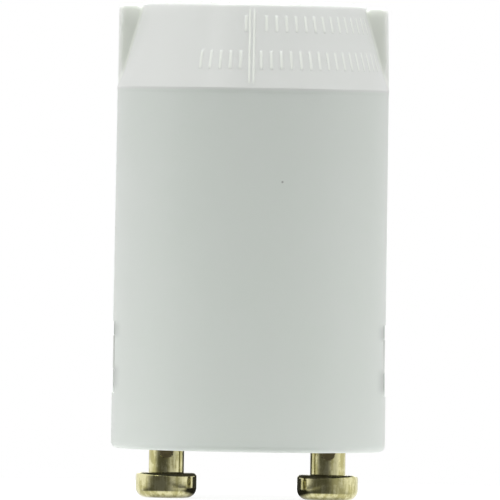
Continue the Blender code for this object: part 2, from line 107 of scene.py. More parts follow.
# Grip bars on the cone and on the flat end
BAR_ROWS = (
    {"middle": 37.25 * MM, "height": 1.42 * MM, "first": -4, "last": 73},
    {"middle": 34.40 * MM, "height": 1.57 * MM, "first": -24, "last": 74},
)
BAR_PITCH = 0.80 * MM
BAR_WIDTH = 0.27 * MM
BAR_PROUD = 0.033 * MM
BAR_ROOT = 0.20 * MM
BAR_RUN_OUT = 0.03 * MM
BAR_CLEAR_ANGLE = 0.045
# A bar's rise along its length, and its rise across its width
BAR_STATIONS = (
    (0, 0), (0.04, 0.6), (0.1, 0.92), (0.2, 1), (0.5, 1), (0.8, 1), (0.9, 0.92), (0.96, 0.6), (1, 0),
)
BAR_PROFILE = ((-0.5, 0.15), (-0.4, 0.6), (-0.2, 0.92), (0, 1), (0.2, 0.92), (0.4, 0.6), (0.5, 0.15))
BAR_END_WIDTH = 0.75
END_BARS = 30
END_BAR_LENGTH = 1.3 * MM
END_BAR_WIDTH = 0.55 * MM
END_BAR_RADIUS = 7.6 * MM
END_BAR_PROUD = 0.16 * MM

# Contact pins
PIN_HEAD_HEIGHT = 1.97 * MM
PIN_END_ROUND = 0.82 * MM
PIN_SHOULDER_ROUND = 0.30 * MM
PIN_NECK_RADIUS = 1.39 * MM
PIN_NECK_FILLET = 0.06 * MM
PIN_SPIGOT_STEP = 0.29 * MM
PIN_FLARE_LIP = 0.50 * MM
PIN_FLARE_HEIGHT = 0.45 * MM
PIN_FLARE_ROUND = 0.15 * MM
PIN_BORE_RADIUS = 0.65 * MM
PIN_BORE_FLOOR = 2.40 * MM
STAKE_BALL_RADIUS = 0.80 * MM
STAKE_DEPTH = 0.35 * MM
LIP_THICKNESS = 0.07 * MM
LIP_RADIUS = 0.68 * MM
LIP_START = radians(-170)
LIP_SWEEP = radians(160)
LIP_THIN_END = 0.35
LIP_SINK = 0.02 * MM

# Camera
CAMERA_DISTANCE = 1.0
CAMERA_HEIGHT = 23.5 * MM
VIEW_WIDTH = 39.33 * MM
VIEW_CENTRE_X = -0.05 * MM
VIEW_CENTRE_Z = 19.57 * MM
CAMERA_ROLL = radians(0.95)
SENSOR_WIDTH = 36.0

# Material areas: the heights or distances over which each one fades in
# The painted highlight on raised marks and the painted light on the wings fade in over these heights above
# the cone
MARK_EDGES = (0.008 * MM, 0.04 * MM)
WING_EDGES = (0.08 * MM, 0.20 * MM)
# Painted shade: heights and side reach of the soft dark bands beside the windows, for the latches' shadow
# through the wall
PAINTED_LATCH_SHADES = ((8.2 * MM, 9.0 * MM, 9.8 * MM, 10.6 * MM), (12.4 * MM, 12.9 * MM, 13.4 * MM, 14.0 * MM))
PAINTED_LATCH_SHADE_EDGES = (9.95 * MM, 11.05 * MM)
FLECK_PLACE = (2.39 * MM, -10.41 * MM, 24.94 * MM)
FLECK_EDGES = (0.05 * MM, 0.12 * MM)
# Painted shade in the staking marks fades in over this reach beyond the ball
STAKE_EDGES = (0.01 * MM, 0.03 * MM)

# Colours
BODY_COLOURS = ((0.655, 0.700, 0.655), (0.675, 0.705, 0.675))
CONE_COLOUR = (0.684, 0.699, 0.678)
# Painted highlight on the raised seam and bars, and painted light on the wings, both paler than the cone
MARK_HIGHLIGHT_COLOUR = (0.760, 0.785, 0.735)
WING_LIGHT_COLOUR = (0.700, 0.725, 0.675)
# Painted shade beside the windows, for the latches' shadow through the milky wall
PAINTED_LATCH_SHADE_COLOUR = (0.35, 0.37, 0.35)
FLECK_COLOUR = (0.37, 0.39, 0.37)
BRASS_COLOURS = ((0.78, 0.74, 0.43), (0.50, 0.465, 0.21))
# Painted shade in the hollows of the staking marks
STAKE_SHADE_COLOUR = (0.30, 0.25, 0.13)
# Dark cards as painted shade in the pins' reflections
CARD_SHADE_COLOUR = (0.05, 0.05, 0.05)

# World: how strong it is at the sides, and how that grows upward
WORLD_SIDES = 1.42
WORLD_LEAN = 0.53
# Dim room in gloss: (turn from the camera's side, cosines over which it fades in, its level)
ROOM = ((radians(-27), (0.48, 0.96), 0.20), (radians(5), (0.2, 0.8), 0.58))

# Floor: its colours in the middle and at the sides, and what it gives off to the camera and as fill
FLOOR_ALBEDO = 0.30
FLOOR_SIDE_ALBEDO = 0.60
FLOOR_SIDE_EDGES = (6 * MM, 15 * MM)
FLOOR_GLOW = 0.82
FLOOR_LIFT = 0.19
BASE_LIFT = 1.0
LIFT_EDGES = (10 * MM, 17 * MM)
FLOOR_RADIUS = 60 * MM

# Floor and cards in gloss: under the pins' heads, in a ring round each, and in the gap between them
# Painted shade: the grey under each head and the dark gap stand in for the floor's shadow there in the pins'
# reflections
UNDER_SHADE_LEVEL = 0.45
UNDER_EDGES = (1.9 * MM, 2.4 * MM)
UNDER_ENDS = (7.2 * MM, 8.2 * MM)
RING_EDGES = (2.7 * MM, 3.2 * MM)
GAP_SHADE_LEVEL = 0.02
GAP_EDGES = (3.6 * MM, 4.9 * MM)
GAP_ENDS = (1.5 * MM, 3.0 * MM)
# Painted shade: dark cards seen only in gloss, behind the gap between the pins and under the base
CARD_LOW_NEAR = 1.2 * MM
CARD_HIGH_NEAR = 3.6 * MM
CARD_FAR = 18.0 * MM
CARD_RADIUS = 9.6 * MM
CARD_FOOT = 0.1 * MM
CARD_BELOW_BASE = 0.03 * MM

# Soft boxes: azimuth and elevation in degrees, distance, width and height in metres, power in watts
LAMPS = {
    "left_top_box": (-40, 62, 0.7, 0.3, 0.3, 2.95),
    "right_top_box": (40, 62, 0.7, 0.3, 0.3, 2.98),
    "left_box": (-38, 31, 0.6, 0.09, 0.12, 0.24),
    "back_box": (180, 25, 0.7, 0.4, 0.4, 0.8),
}

# Facets
SIDE_COLUMNS = 52
WING_STEPS = 5
ARC_STEPS = 8
JAMB_STEPS = 4
PIN_SEGMENTS = 128
LIP_STEPS = 20
LIP_SIDES = 12

CANISTER_LOW, CANISTER_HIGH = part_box("canister")
RIM = CANISTER_LOW.z
TOP = CANISTER_HIGH.z
MOUTH_RADIUS = (CANISTER_HIGH.x - CANISTER_LOW.x) / 2
BODY_TOP_RADIUS = MOUTH_RADIUS - BODY_DRAFT
SHOULDER_RADIUS = BODY_TOP_RADIUS + SHOULDER_LEDGE
CONE_TOP_RADIUS = SHOULDER_RADIUS - CONE_TAPER
SHOULDER = TOP - CONE_HEIGHT
MOUTH_BORE_RADIUS = MOUTH_RADIUS - WALL + BASE_LEDGE
PIN_OFFSET = (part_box("contact_pin_right")[0].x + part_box("contact_pin_right")[1].x) / 2
WINDOW_FOOT = RIM + WINDOW_BOTTOM
WINDOW_HEAD = WINDOW_FOOT + WINDOW_HEIGHT
ABOVE_EDGES = (SHOULDER - 0.25 * MM, SHOULDER - 0.05 * MM)
# Heights over which a wing's painted light gives way to the paler painted highlight of the raised marks, so
# its tip is palest
WING_TIP_EDGES = (TOP - 2.2 * MM, TOP - 0.3 * MM)
# Radius from which the flat end's columns begin to follow the wings, and the run over which they do
END_FOLLOW = 4 * MM


def cone_radius(height):
    """Outer radius of the canister's conical top."""
    return SHOULDER_RADIUS - CONE_TAPER * (height - SHOULDER) / CONE_HEIGHT


def body_radius(height):
    """Outer radius of the canister's body."""
    return MOUTH_RADIUS - BODY_DRAFT * (height - RIM) / (SHOULDER - SHOULDER_STEP - RIM)


# Outlines, as lists of (radius, height) vectors

def arc(before, corner, after, radius, steps=ARC_STEPS):
    """Round that replaces a corner between two neighbours of an outline."""
    corner = Vector(corner)
    incoming = (Vector(before) - corner).normalized()
    outgoing = (Vector(after) - corner).normalized()
    half_angle = incoming.angle(outgoing) / 2
    reach = radius / tan(half_angle)
    centre = corner + (incoming + outgoing).normalized() * (radius / sin(half_angle))
    start = corner + incoming * reach - centre
    end = corner + outgoing * reach - centre
    sweep = pi - 2 * half_angle
    turn = sweep if start.x * end.y > start.y * end.x else -sweep
    points = []
    for step in range(steps + 1):
        angle = turn * step / steps
        points.append(centre + Vector((
            start.x * cos(angle) - start.y * sin(angle),
            start.x * sin(angle) + start.y * cos(angle),
        )))
    return points


def stretch(start, end, steps):
    """Evenly spaced points from start to end, without the start itself."""
    return [Vector(start).lerp(Vector(end), step / steps) for step in range(1, steps + 1)]


def rounded(corners, steps=ARC_STEPS):
    """Outline through (radius, height, round) corners, with an arc in place of each round corner."""
    outline = []
    for index, (r, z, radius) in enumerate(corners):
        if radius == 0:
            outline.append(Vector((r, z)))
        else:
            after = corners[(index + 1) % len(corners)]
            outline += arc(corners[index - 1][:2], (r, z), after[:2], radius, steps)
    return outline


def wing_outline(side):
    """One wing's outline from the cone's top down to its foot, and its start and end on the cone."""
    reach = SHOULDER_RADIUS - WING_TOP_INSET[side]
    foot = SHOULDER_RADIUS - WING_FOOT_INSET[side]
    head = TOP - WING_DROP
    meet = SHOULDER + CONE_HEIGHT * WING_FOOT_INSET[side] / CONE_TAPER
    start = TOP_ARC[-1]
    end = SHOULDER_ARC[0]
    root = (cone_radius(head), head)
    wing = arc(start, root, (reach, head), WING_TOP_FILLET, 4)
    wing += stretch(wing[-1], (reach - WING_CORNER_ROUND, head), 5)
    wing += arc(root, (reach, head), (foot, meet), WING_CORNER_ROUND)[1:]
    wing += stretch(wing[-1], (foot, meet), 16)
    wing += stretch(wing[-1], end, 2)
    wing[0] = start
    return wing


def wing_pair():
    """Matching rows of three outlines down the cone: without wing, and with the right and left wings."""
    right, left = wing_outline("right"), wing_outline("left")
    lengths = [0.0]
    for upper, lower in zip(right, right[1:]):
        lengths.append(lengths[-1] + (lower - upper).length)
    start, end = right[0], right[-1]
    plain = [start.lerp(end, length / lengths[-1]) for length in lengths]
    return list(zip(plain, right, left))


def smooth(share):
    """Eased share, held between 0 and 1."""
    share = min(1.0, max(0.0, share))
    return share * share * (3 - 2 * share)


STEP_TOP = (BODY_TOP_RADIUS, SHOULDER - SHOULDER_STEP)
TOP_ARC = arc((0, TOP), (CONE_TOP_RADIUS, TOP), (SHOULDER_RADIUS, SHOULDER), TOP_ROUND)
SHOULDER_ARC = arc((CONE_TOP_RADIUS, TOP), (SHOULDER_RADIUS, SHOULDER), STEP_TOP, SHOULDER_ROUND)


# Meshes

def make_piece(name, mesh_maker, smooth_angle=radians(30)):
    """Turns a bmesh into a named object that rides on the one body."""
    mesh = bpy.data.meshes.new(name)
    mesh_maker.to_mesh(mesh)
    mesh_maker.free()
    mesh.shade_smooth()
    mesh.set_sharp_from_angle(angle=smooth_angle)
    piece = bpy.data.objects.new(name, mesh)
    bpy.context.scene.collection.objects.link(piece)
    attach(piece, "root")
    return piece


def lathe(shape, outline, segments, centre=(0, 0, 0)):
    """Adds a solid turned about a vertical axis, from an outline that starts and ends on that axis."""
    centre = Vector(centre)
    rings = []
    for point in outline[1:-1]:
        ring = []
        for index in range(segments):
            angle = 2 * pi * index / segments
            turned = Vector((point.x * cos(angle), point.x * sin(angle), point.y))
            ring.append(shape.verts.new(centre + turned))
        rings.append(ring)
    first = shape.verts.new(centre + Vector((0, 0, outline[0].y)))
    last = shape.verts.new(centre + Vector((0, 0, outline[-1].y)))
    for index in range(segments):
        following = (index + 1) % segments
        shape.faces.new((first, rings[0][following], rings[0][index]))
        shape.faces.new((last, rings[-1][index], rings[-1][following]))
        for upper, lower in zip(rings, rings[1:]):
            shape.faces.new((upper[index], upper[following], lower[following], lower[index]))
    bmesh.ops.recalc_face_normals(shape, faces=shape.faces)


def wing_columns():
    """Half a wing's columns, from its middle to the cone: (y, share of the way out, fillet or round)."""
    foot = WING_HALF_WIDTH + WING_DRAFT
    head = WING_HALF_WIDTH - WING_DRAFT
    flat = head - WING_EDGE_ROUND
    angles = [pi / 2 * (1 - step / WING_STEPS) for step in range(WING_STEPS + 1)]
    columns = [(flat * step / WING_STEPS, "face", 0.0) for step in range(WING_STEPS)]
    for angle in angles:
        columns.append((head - WING_EDGE_ROUND * (1 - cos(angle)), "edge", sin(angle)))
    columns.append((WING_HALF_WIDTH, "side", 0.5))
    for angle in angles:
        columns.append((foot + WING_FILLET * (1 - sin(angle)), "fillet", 1 - cos(angle)))
    return columns


def wing_place(plain, wing, kind, share, y):
    """Point of one row between the cone's outline and the wing's, which runs out softly at its foot."""
    depth = (wing - plain).length
    if depth < 1e-7:
        return plain
    outward = (wing - plain) / depth
    edge = min(WING_EDGE_ROUND, depth * WING_ROUND_SHARE)
    fillet = min(WING_FILLET, depth * WING_ROUND_SHARE)
    if kind == "face":
        out = depth
    elif kind == "edge":
        out = depth - edge + edge * share
    elif kind == "side":
        out = fillet + (depth - edge - fillet) * share
    else:
        out = fillet * share
    soft = depth * (1 - smooth(y / (WING_HALF_WIDTH + WING_DRAFT + WING_FILLET)))
    full = smooth((depth - WING_SOFT) / (WING_FULL - WING_SOFT))
    return plain + outward * (soft + (out - soft) * full)


def canister_columns():
    """One quarter of the canister's columns: (kind, y, share, angle on plain rows)."""
    half = wing_columns()
    window_angle = asin(WINDOW_HALF_WIDTH / MOUTH_RADIUS)
    edge_angle = asin(half[-1][0] / SHOULDER_RADIUS)
    window_column = len(half) * 2 // 3
    quarter = []
    for index, (y, kind, share) in enumerate(half):
        if index <= window_column:
            even = window_angle * index / window_column
        else:
            rest = (index - window_column) / (len(half) - 1 - window_column)
            even = window_angle + (edge_angle - window_angle) * rest
        quarter.append((kind, y, share, even))
    for index in range(1, SIDE_COLUMNS + 1):
        quarter.append(("cone", None, index / SIDE_COLUMNS, None))
    return quarter, window_column


def canister_rows():
    """Rows from the top's middle over the outside, round the mouth and up the inside.

    Each row is (plain, right wing, left wing, how far its columns follow the wings, outer skin).
    """
    def level(points, follow=0.0, outer=True):
        return [(point, point, point, follow, outer) for point in points]

    rows = []
    for point in stretch((0, TOP), TOP_ARC[0], 12):
        rows += level([point], smooth((point.x - END_FOLLOW) / END_FOLLOW))
    rows += level(TOP_ARC[1:-1], 1.0)
    rows += [(plain, right, left, 1.0, True) for plain, right, left in wing_pair()]
    mouth_top = (MOUTH_RADIUS, RIM)
    shoulder = SHOULDER_ARC[1:]
    shoulder += arc((SHOULDER_RADIUS, SHOULDER), STEP_TOP, mouth_top, STEP_ROUND, 4)
    rows += level(shoulder, 1.0)

    mouth_round = arc(STEP_TOP, mouth_top, (MOUTH_BORE_RADIUS, RIM), MOUTH_ROUND)
    window_head = (body_radius(WINDOW_HEAD), WINDOW_HEAD)
    window_foot = (body_radius(WINDOW_FOOT), WINDOW_FOOT)
    for index, point in enumerate(stretch(shoulder[-1], window_head, 22)):
        rows += level([point], 1 - smooth((index + 1) / 8))
    outer_head = len(rows) - 1
    rows += level(stretch(window_head, window_foot, 12))
    outer_foot = len(rows) - 1
    rows += level(stretch(window_foot, mouth_round[0], 6))
    rows += level(mouth_round[1:])

    ledge = RIM + LEDGE_DEPTH
    ceiling = TOP - TOP_WALL
    inner_wall = body_radius(ledge) - WALL
    mouth_corner = (MOUTH_BORE_RADIUS, RIM)
    inside = arc(mouth_round[-1], mouth_corner, (MOUTH_BORE_RADIUS, ledge), MOUTH_INNER_ROUND, 4)
    inside += stretch(inside[-1], (MOUTH_BORE_RADIUS, ledge), 3)
    inside += stretch(inside[-1], (inner_wall, ledge), 1)
    inside += stretch(inside[-1], (body_radius(WINDOW_FOOT) - WALL, WINDOW_FOOT), 2)
    rows += level(inside, 0.0, False)
    inner_foot = len(rows) - 1
    rows += level(stretch(inside[-1], (body_radius(WINDOW_HEAD) - WALL, WINDOW_HEAD), 12), 0.0, False)
    inner_head = len(rows) - 1
    cavity_top = (BODY_TOP_RADIUS - WALL, SHOULDER - SHOULDER_STEP)
    level_wall = WALL * hypot(1, CONE_TAPER / CONE_HEIGHT)
    ceiling_corner = (cone_radius(ceiling) - level_wall, ceiling)
    ceiling_round = arc(cavity_top, ceiling_corner, (0, ceiling), TOP_INNER_ROUND, 5)
    upward = stretch(rows[-1][0], cavity_top, 6) + stretch(cavity_top, ceiling_round[0], 3)
    upward += ceiling_round[1:] + stretch(ceiling_round[-1], (0, ceiling), 4)[:-1]
    rows += level(upward, 0.0, False)
    return rows, (outer_head, outer_foot, inner_foot, inner_head), ceiling


def row_angles(quarter, row):
    """Angles of a quarter's columns on one row, where wing columns keep their distance from the X axis."""
    plain, right, left, follow, _ = row
    wing = [column for column in quarter if column[0] != "cone"]
    angles = []
    for kind, y, share, even in wing:
        if follow > 0:
            true = asin(min(0.95, y / plain.x))
            angles.append(even + (true - even) * follow)
        else:
            angles.append(even)
    edge = angles[-1]
    angles += [edge + (pi / 2 - edge) * column[2] for column in quarter[len(wing):]]
    return angles


def window_slant(height, angle, outer):
    """How far a point of the outer skin turns towards the camera's side for the slanted window cut."""
    if not outer:
        return 0.0
    near = smooth((SLANT_ROUND[0] - angle) / SLANT_ROUND[1])
    above = smooth((height - WINDOW_FOOT + SLANT_BELOW[0]) / SLANT_BELOW[1])
    below = smooth((WINDOW_HEAD + SLANT_ABOVE[0] - height) / SLANT_ABOVE[1])
    return WINDOW_SLANT / MOUTH_RADIUS * near * above * below


def bulge(height, angle):
    """How far the right latch arm pushes the wall out."""
    near = smooth((BULGE_ROUND[0] - angle) / BULGE_ROUND[1])
    return BULGE * near * smooth((BULGE_TOP - height) / (BULGE_TOP - BULGE_FULL))


def add_bar(shape, stations, proud):
    """Adds a closed raised bar through stations of (foot, width vector, outward direction, rise).

    Where the rise is 0, the bar runs out under the surface.
    """
    rings = []
    for foot, across, out, rise in stations:
        under = foot - out * BAR_ROOT
        ring = [under - across * 0.5]
        for aside, level in BAR_PROFILE:
            ring.append(foot + across * aside + out * (level * proud * rise - BAR_RUN_OUT * (1 - rise)))
        ring.append(under + across * 0.5)
        rings.append([shape.verts.new(point) for point in ring])
    for ring, following in zip(rings, rings[1:]):
        for index in range(len(ring)):
            after = (index + 1) % len(ring)
            shape.faces.new((ring[index], ring[after], following[after], following[index]))
    shape.faces.new(rings[0][::-1])
    shape.faces.new(rings[-1])


def bar_width(width, rise):
    """A bar's width at one station, which narrows where the bar runs out."""
    return width * (BAR_END_WIDTH + (1 - BAR_END_WIDTH) * rise)


def add_cone_bar(shape, turn, shift, low, high, width, proud):
    """Adds a bar that runs up the cone at a turn from the front, moved sideways by a shift."""
    slope = hypot(CONE_TAPER, CONE_HEIGHT)
    stations = []
    for share, rise in BAR_STATIONS:
        height = low + (high - low) * share
        radius = cone_radius(height)
        angle = turn + shift / radius
        outward = Vector((sin(angle), -cos(angle), 0))
        out = outward * (CONE_HEIGHT / slope) + Vector((0, 0, CONE_TAPER / slope))
        across = Vector((cos(angle), sin(angle), 0)) * bar_width(width, rise)
        stations.append((outward * radius + Vector((0, 0, height)), across, out, rise))
    add_bar(shape, stations, proud)


def add_end_bar(shape, turn):
    """Adds a short radial bar on the flat end."""
    outward = Vector((sin(turn), -cos(turn), 0))
    sideways = Vector((cos(turn), sin(turn), 0))
    stations = []
    for share, rise in BAR_STATIONS:
        radius = END_BAR_RADIUS + END_BAR_LENGTH * (share - 0.5)
        foot = outward * radius + Vector((0, 0, TOP))
        stations.append((foot, sideways * bar_width(END_BAR_WIDTH, rise), Vector((0, 0, 1)), rise))
    add_bar(shape, stations, END_BAR_PROUD)


def make_raised_marks():
    """The mould seam's two fine ridges, the grip bars on the cone and those on the flat end."""
    shape = bmesh.new()
    for face in (0, pi):
        for shift in (SEAM_SHIFT - SEAM_OFFSET, SEAM_SHIFT + SEAM_OFFSET):
            add_cone_bar(shape, face, shift, SHOULDER + SEAM_FOOT, TOP - SEAM_HEAD, SEAM_WIDTH, SEAM_HEIGHT)
        for row in BAR_ROWS:
            pitch = BAR_PITCH / cone_radius(row["middle"])
            count = int(radians(row["last"] - row["first"]) / pitch) + 1
            for index in range(count):
                turn = face + radians(row["first"]) + pitch * index
                if abs(turn - face) >= BAR_CLEAR_ANGLE:
                    add_cone_bar(shape, turn, 0, row["middle"] - row["height"] / 2,
                                 row["middle"] + row["height"] / 2, BAR_WIDTH, BAR_PROUD)
    for index in range(END_BARS):
        add_end_bar(shape, 2 * pi * (index + 0.5) / END_BARS)
    bmesh.ops.recalc_face_normals(shape, faces=shape.faces)
    return shape


def make_shell():
    """Moulded can in one mesh: cone with its wings, shoulder, body, latch windows, mouth and inside."""
    quarter, window_column = canister_columns()
    rows, (outer_head, outer_foot, inner_foot, inner_head), ceiling = canister_rows()
    last = len(quarter) - 1
    columns = [(index, 1, 0.0) for index in range(last + 1)]
    columns += [(index, -1, pi) for index in range(last - 1, -1, -1)]
    columns += [(index, 1, pi) for index in range(1, last + 1)]
    columns += [(index, -1, 2 * pi) for index in range(last - 1, 0, -1)]
    shape = bmesh.new()
    grid = []
    for row in rows:
        plain, right, left, _, outer = row
        angles = row_angles(quarter, row)
        ring = []
        for index, direction, offset in columns:
            kind, y, share, _ = quarter[index]
            on_left = offset == pi
            point = plain
            if kind != "cone":
                point = wing_place(plain, left if on_left else right, kind, share, y)
            angle = angles[index]
            radius = point.x
            turn = offset + direction * angle
            if plain.y < SHOULDER - SHOULDER_STEP:
                slant = window_slant(point.y, angle, outer)
                turn += slant if on_left else -slant
                radius += 0 if on_left else bulge(point.y, angle)
            ring.append(shape.verts.new((radius * cos(turn), radius * sin(turn), point.y)))
        grid.append(ring)

    count = len(columns)
    middle = (0, count // 2)

    def in_window(column):
        return any((column - place + window_column) % count < 2 * window_column for place in middle)

    for row in range(len(grid) - 1):
        open_row = outer_head <= row < outer_foot or inner_foot <= row < inner_head
        for column in range(count):
            if open_row and in_window(column):
                continue
            following = (column + 1) % count
            shape.faces.new((grid[row][column], grid[row][following],
                             grid[row + 1][following], grid[row + 1][column]))
    for ring, height in ((grid[0], TOP), (grid[-1], ceiling)):
        hub = shape.verts.new((0, 0, height))
        for column in range(count):
            shape.faces.new((hub, ring[column], ring[(column + 1) % count]))

    for place in middle:
        left, right = place - window_column, place + window_column
        around = [(outer_head, inner_head, column, 0, 1) for column in range(left, right)]
        around += [(row, inner_head + outer_head - row, right, 1, 0)
                   for row in range(outer_head, outer_foot)]
        around += [(outer_foot, inner_foot, column, 0, -1) for column in range(right, left, -1)]
        around += [(row, inner_foot + outer_foot - row, left, -1, 0)
                   for row in range(outer_foot, outer_head, -1)]
        add_jamb(shape, [
            (grid[row][column % count], grid[inner_row][column % count],
             aside or (column == right) - (column == left),
             rise or (row == outer_head) - (row == outer_foot))
            for row, inner_row, column, aside, rise in around])
    bmesh.ops.recalc_face_normals(shape, faces=shape.faces)
    return shape


def add_jamb(shape, around):
    """Joins a window's outer edge to its inner one, and rounds the outer edge.

    Each point around it is (outer vertex, inner vertex, sideways and upward way out of the window).
    """
    loops = [[outer for outer, *_ in around]]
    loops += [[] for _ in range(JAMB_STEPS)]
    for outer, inner, aside, rise in around:
        corner = outer.co.copy()
        inward = (inner.co - corner).normalized() * WINDOW_EDGE_ROUND
        turn = atan2(corner.y, corner.x)
        away = Vector((-sin(turn) * aside, cos(turn) * aside, rise)) * WINDOW_EDGE_ROUND
        outer.co = corner + away
        for step in range(1, JAMB_STEPS + 1):
            angle = pi / 2 * step / JAMB_STEPS
            place = corner + away * (1 - sin(angle)) + inward * (1 - cos(angle))
            loops[step].append(shape.verts.new(place))
    loops.append([inner for _, inner, *_ in around])
    for before, after in zip(loops, loops[1:]):
        for index in range(len(around)):
            following = (index + 1) % len(around)
            shape.faces.new((before[index], before[following], after[following], after[index]))


def make_canister():
    """The moulded can with its raised seam and bars, in place of the CAD one."""
    piece = make_piece("canister_shell", make_shell())
    combine(piece, make_raised_marks(), "UNION")
    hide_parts("canister")
    return piece


def combine(piece, tool_maker, operation, smooth_angle=radians(28)):
    """Joins another closed mesh to a piece, or takes it away, worked out in millimetres for accuracy."""
    mesh = bpy.data.meshes.new("guide")
    tool_maker.to_mesh(mesh)
    tool_maker.free()
    mesh.transform(Matrix.Scale(1 / MM, 4))
    piece.data.transform(Matrix.Scale(1 / MM, 4))
    tool = bpy.data.objects.new("guide", mesh)
    bpy.context.scene.collection.objects.link(tool)
    modifier = piece.modifiers.new("combine", "BOOLEAN")
    modifier.operation = operation
    modifier.solver = "EXACT"
    modifier.object = tool
    depsgraph = bpy.context.evaluated_depsgraph_get()
    combined = bpy.data.meshes.new_from_object(piece.evaluated_get(depsgraph))
    combined.transform(Matrix.Scale(MM, 4))
    piece.modifiers.clear()
    piece.data = combined
    combined.shade_smooth()
    combined.set_sharp_from_angle(angle=smooth_angle)
    bpy.data.objects.remove(tool)


def staking_balls(places):
    """Balls that leave the staking marks in a pin's neck."""
    shape = bmesh.new()
    for place in places:
        bmesh.ops.create_uvsphere(shape, u_segments=64, v_segments=40, radius=STAKE_BALL_RADIUS,
                                  matrix=Matrix.Translation(place))
    return shape


def staking_lips(middle):
    """Thin crescents of raised metal below the staking marks, which run out at their ends."""
    shape = bmesh.new()
    for facing in (-1, 1):
        rings = []
        for step in range(LIP_STEPS + 1):
            angle = LIP_START + LIP_SWEEP * step / LIP_STEPS
            rise = sin(pi * step / LIP_STEPS)
            x = cos(angle) * LIP_RADIUS
            height = RIM + sin(angle) * LIP_RADIUS
            depth = sqrt(PIN_NECK_RADIUS ** 2 - x ** 2)
            out = Vector((x, depth * facing, 0)).normalized()
            along = Vector((cos(angle), 0, sin(angle)))
            radius = LIP_THICKNESS * (LIP_THIN_END + (1 - LIP_THIN_END) * rise)
            centre = Vector((middle[0] + x, middle[1] + depth * facing, height))
            centre -= out * (LIP_THICKNESS * (1 - rise) + LIP_SINK)
            ring = []
            for corner in range(LIP_SIDES):
                turn = 2 * pi * corner / LIP_SIDES
                ring.append(shape.verts.new(centre + along * cos(turn) * radius + out * sin(turn) * radius))
            rings.append(ring)
        for ring, following in zip(rings, rings[1:]):
            for corner in range(LIP_SIDES):
                after = (corner + 1) % LIP_SIDES
                shape.faces.new((ring[corner], ring[after], following[after], following[corner]))
        shape.faces.new(rings[0])
        shape.faces.new(rings[-1])
    bmesh.ops.recalc_face_normals(shape, faces=shape.faces)
    return shape


def make_pin(side):
    """Turned contact pin with its staking marks, in place of the CAD one."""
    low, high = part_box(f"contact_pin_{side}")
    head = (high.x - low.x) / 2
    spigot = PIN_NECK_RADIUS - PIN_SPIGOT_STEP
    flare = spigot + PIN_FLARE_LIP
    corners = [
        (0, 0, 0),
        (head, 0, PIN_END_ROUND),
        (head, PIN_HEAD_HEIGHT, PIN_SHOULDER_ROUND),
        (PIN_NECK_RADIUS, PIN_HEAD_HEIGHT, PIN_NECK_FILLET),
        (PIN_NECK_RADIUS, RIM, 0),
        (spigot, RIM, 0),
        (spigot, high.z - PIN_FLARE_HEIGHT, 0),
        (flare, high.z - PIN_FLARE_HEIGHT, 0),
        (flare, high.z, PIN_FLARE_ROUND),
        (PIN_BORE_RADIUS, high.z, PIN_FLARE_ROUND),
        (PIN_BORE_RADIUS, PIN_BORE_FLOOR + PIN_BORE_RADIUS / 2, 0),
        (0, PIN_BORE_FLOOR, 0),
    ]
    shape = bmesh.new()
    middle = ((low.x + high.x) / 2, (low.y + high.y) / 2, 0)
    lathe(shape, rounded(corners), PIN_SEGMENTS, middle)
    piece = make_piece(f"turned_pin_{side}", shape)
    reach = PIN_NECK_RADIUS + STAKE_BALL_RADIUS - STAKE_DEPTH
    combine(piece, staking_lips(middle), "UNION")
    combine(piece, staking_balls([(middle[0], facing * reach, RIM) for facing in (-1, 1)]), "DIFFERENCE")
    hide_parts(f"contact_pin_{side}")
    return piece


# Materials

def new_material(name):
    """Empty principled material with its tree and shader."""
    finish = bpy.data.materials.new(name)
    finish.use_nodes = True
    return finish, finish.node_tree, finish.node_tree.nodes["Principled BSDF"]


def bare_material(name):
    """Material without any node, and its tree."""
    finish = bpy.data.materials.new(name)
    finish.use_nodes = True
    finish.node_tree.nodes.clear()
    return finish, finish.node_tree


def add(tree, kind, **values):
    """New node with its inputs or properties set by name."""
    made = tree.nodes.new(kind)
    for name, value in values.items():
        title = name.replace("_", " ").title()
        if title in made.inputs:
            made.inputs[title].default_value = value
        else:
            setattr(made, name, value)
    return made


def fill(tree, sockets, values):
    """Sets each socket to a number, or links another socket to it."""
    for socket, value in zip(sockets, values):
        if isinstance(value, (int, float)):
            socket.default_value = value
        else:
            tree.links.new(value, socket)


def calculate(tree, operation, first, second=0.0):
    """Result of a sum on two sockets or numbers."""
    made = add(tree, "ShaderNodeMath", operation=operation)
    fill(tree, made.inputs, (first, second))
    return made.outputs[0]


def vector_math(tree, operation, first, second=None):
    """Result of a vector sum on a socket and, if given, three numbers."""
    made = add(tree, "ShaderNodeVectorMath", operation=operation)
    tree.links.new(first, made.inputs[0])
    if second is not None:
        made.inputs[1].default_value = second
    gives_number = operation in ("LENGTH", "DISTANCE", "DOT_PRODUCT")
    return made.outputs["Value" if gives_number else "Vector"]


def axes(tree, place):
    """Outputs with a place's X, Y and Z."""
    split = tree.nodes.new("ShaderNodeSeparateXYZ")
    tree.links.new(place, split.inputs[0])
    return split.outputs


def noise(tree, coordinates, scale, detail=2.0, roughness=0.5):
    """Noise texture over object coordinates, with its features counted per metre."""
    made = add(tree, "ShaderNodeTexNoise", scale=scale, detail=detail, roughness=roughness)
    tree.links.new(coordinates, made.inputs["Vector"])
    return made.outputs["Fac"]


def spread(tree, value, low, high):
    """Maps a share onto the range from low to high."""
    made = add(tree, "ShaderNodeMapRange")
    made.inputs["To Min"].default_value = low
    made.inputs["To Max"].default_value = high
    tree.links.new(value, made.inputs["Value"])
    return made.outputs["Result"]


def between(tree, value, low, high):
    """Eased share of the way of a value from low to high."""
    made = add(tree, "ShaderNodeMapRange", interpolation_type="SMOOTHSTEP")
    made.inputs["From Min"].default_value = low
    made.inputs["From Max"].default_value = high
    tree.links.new(value, made.inputs["Value"])
    return made.outputs["Result"]


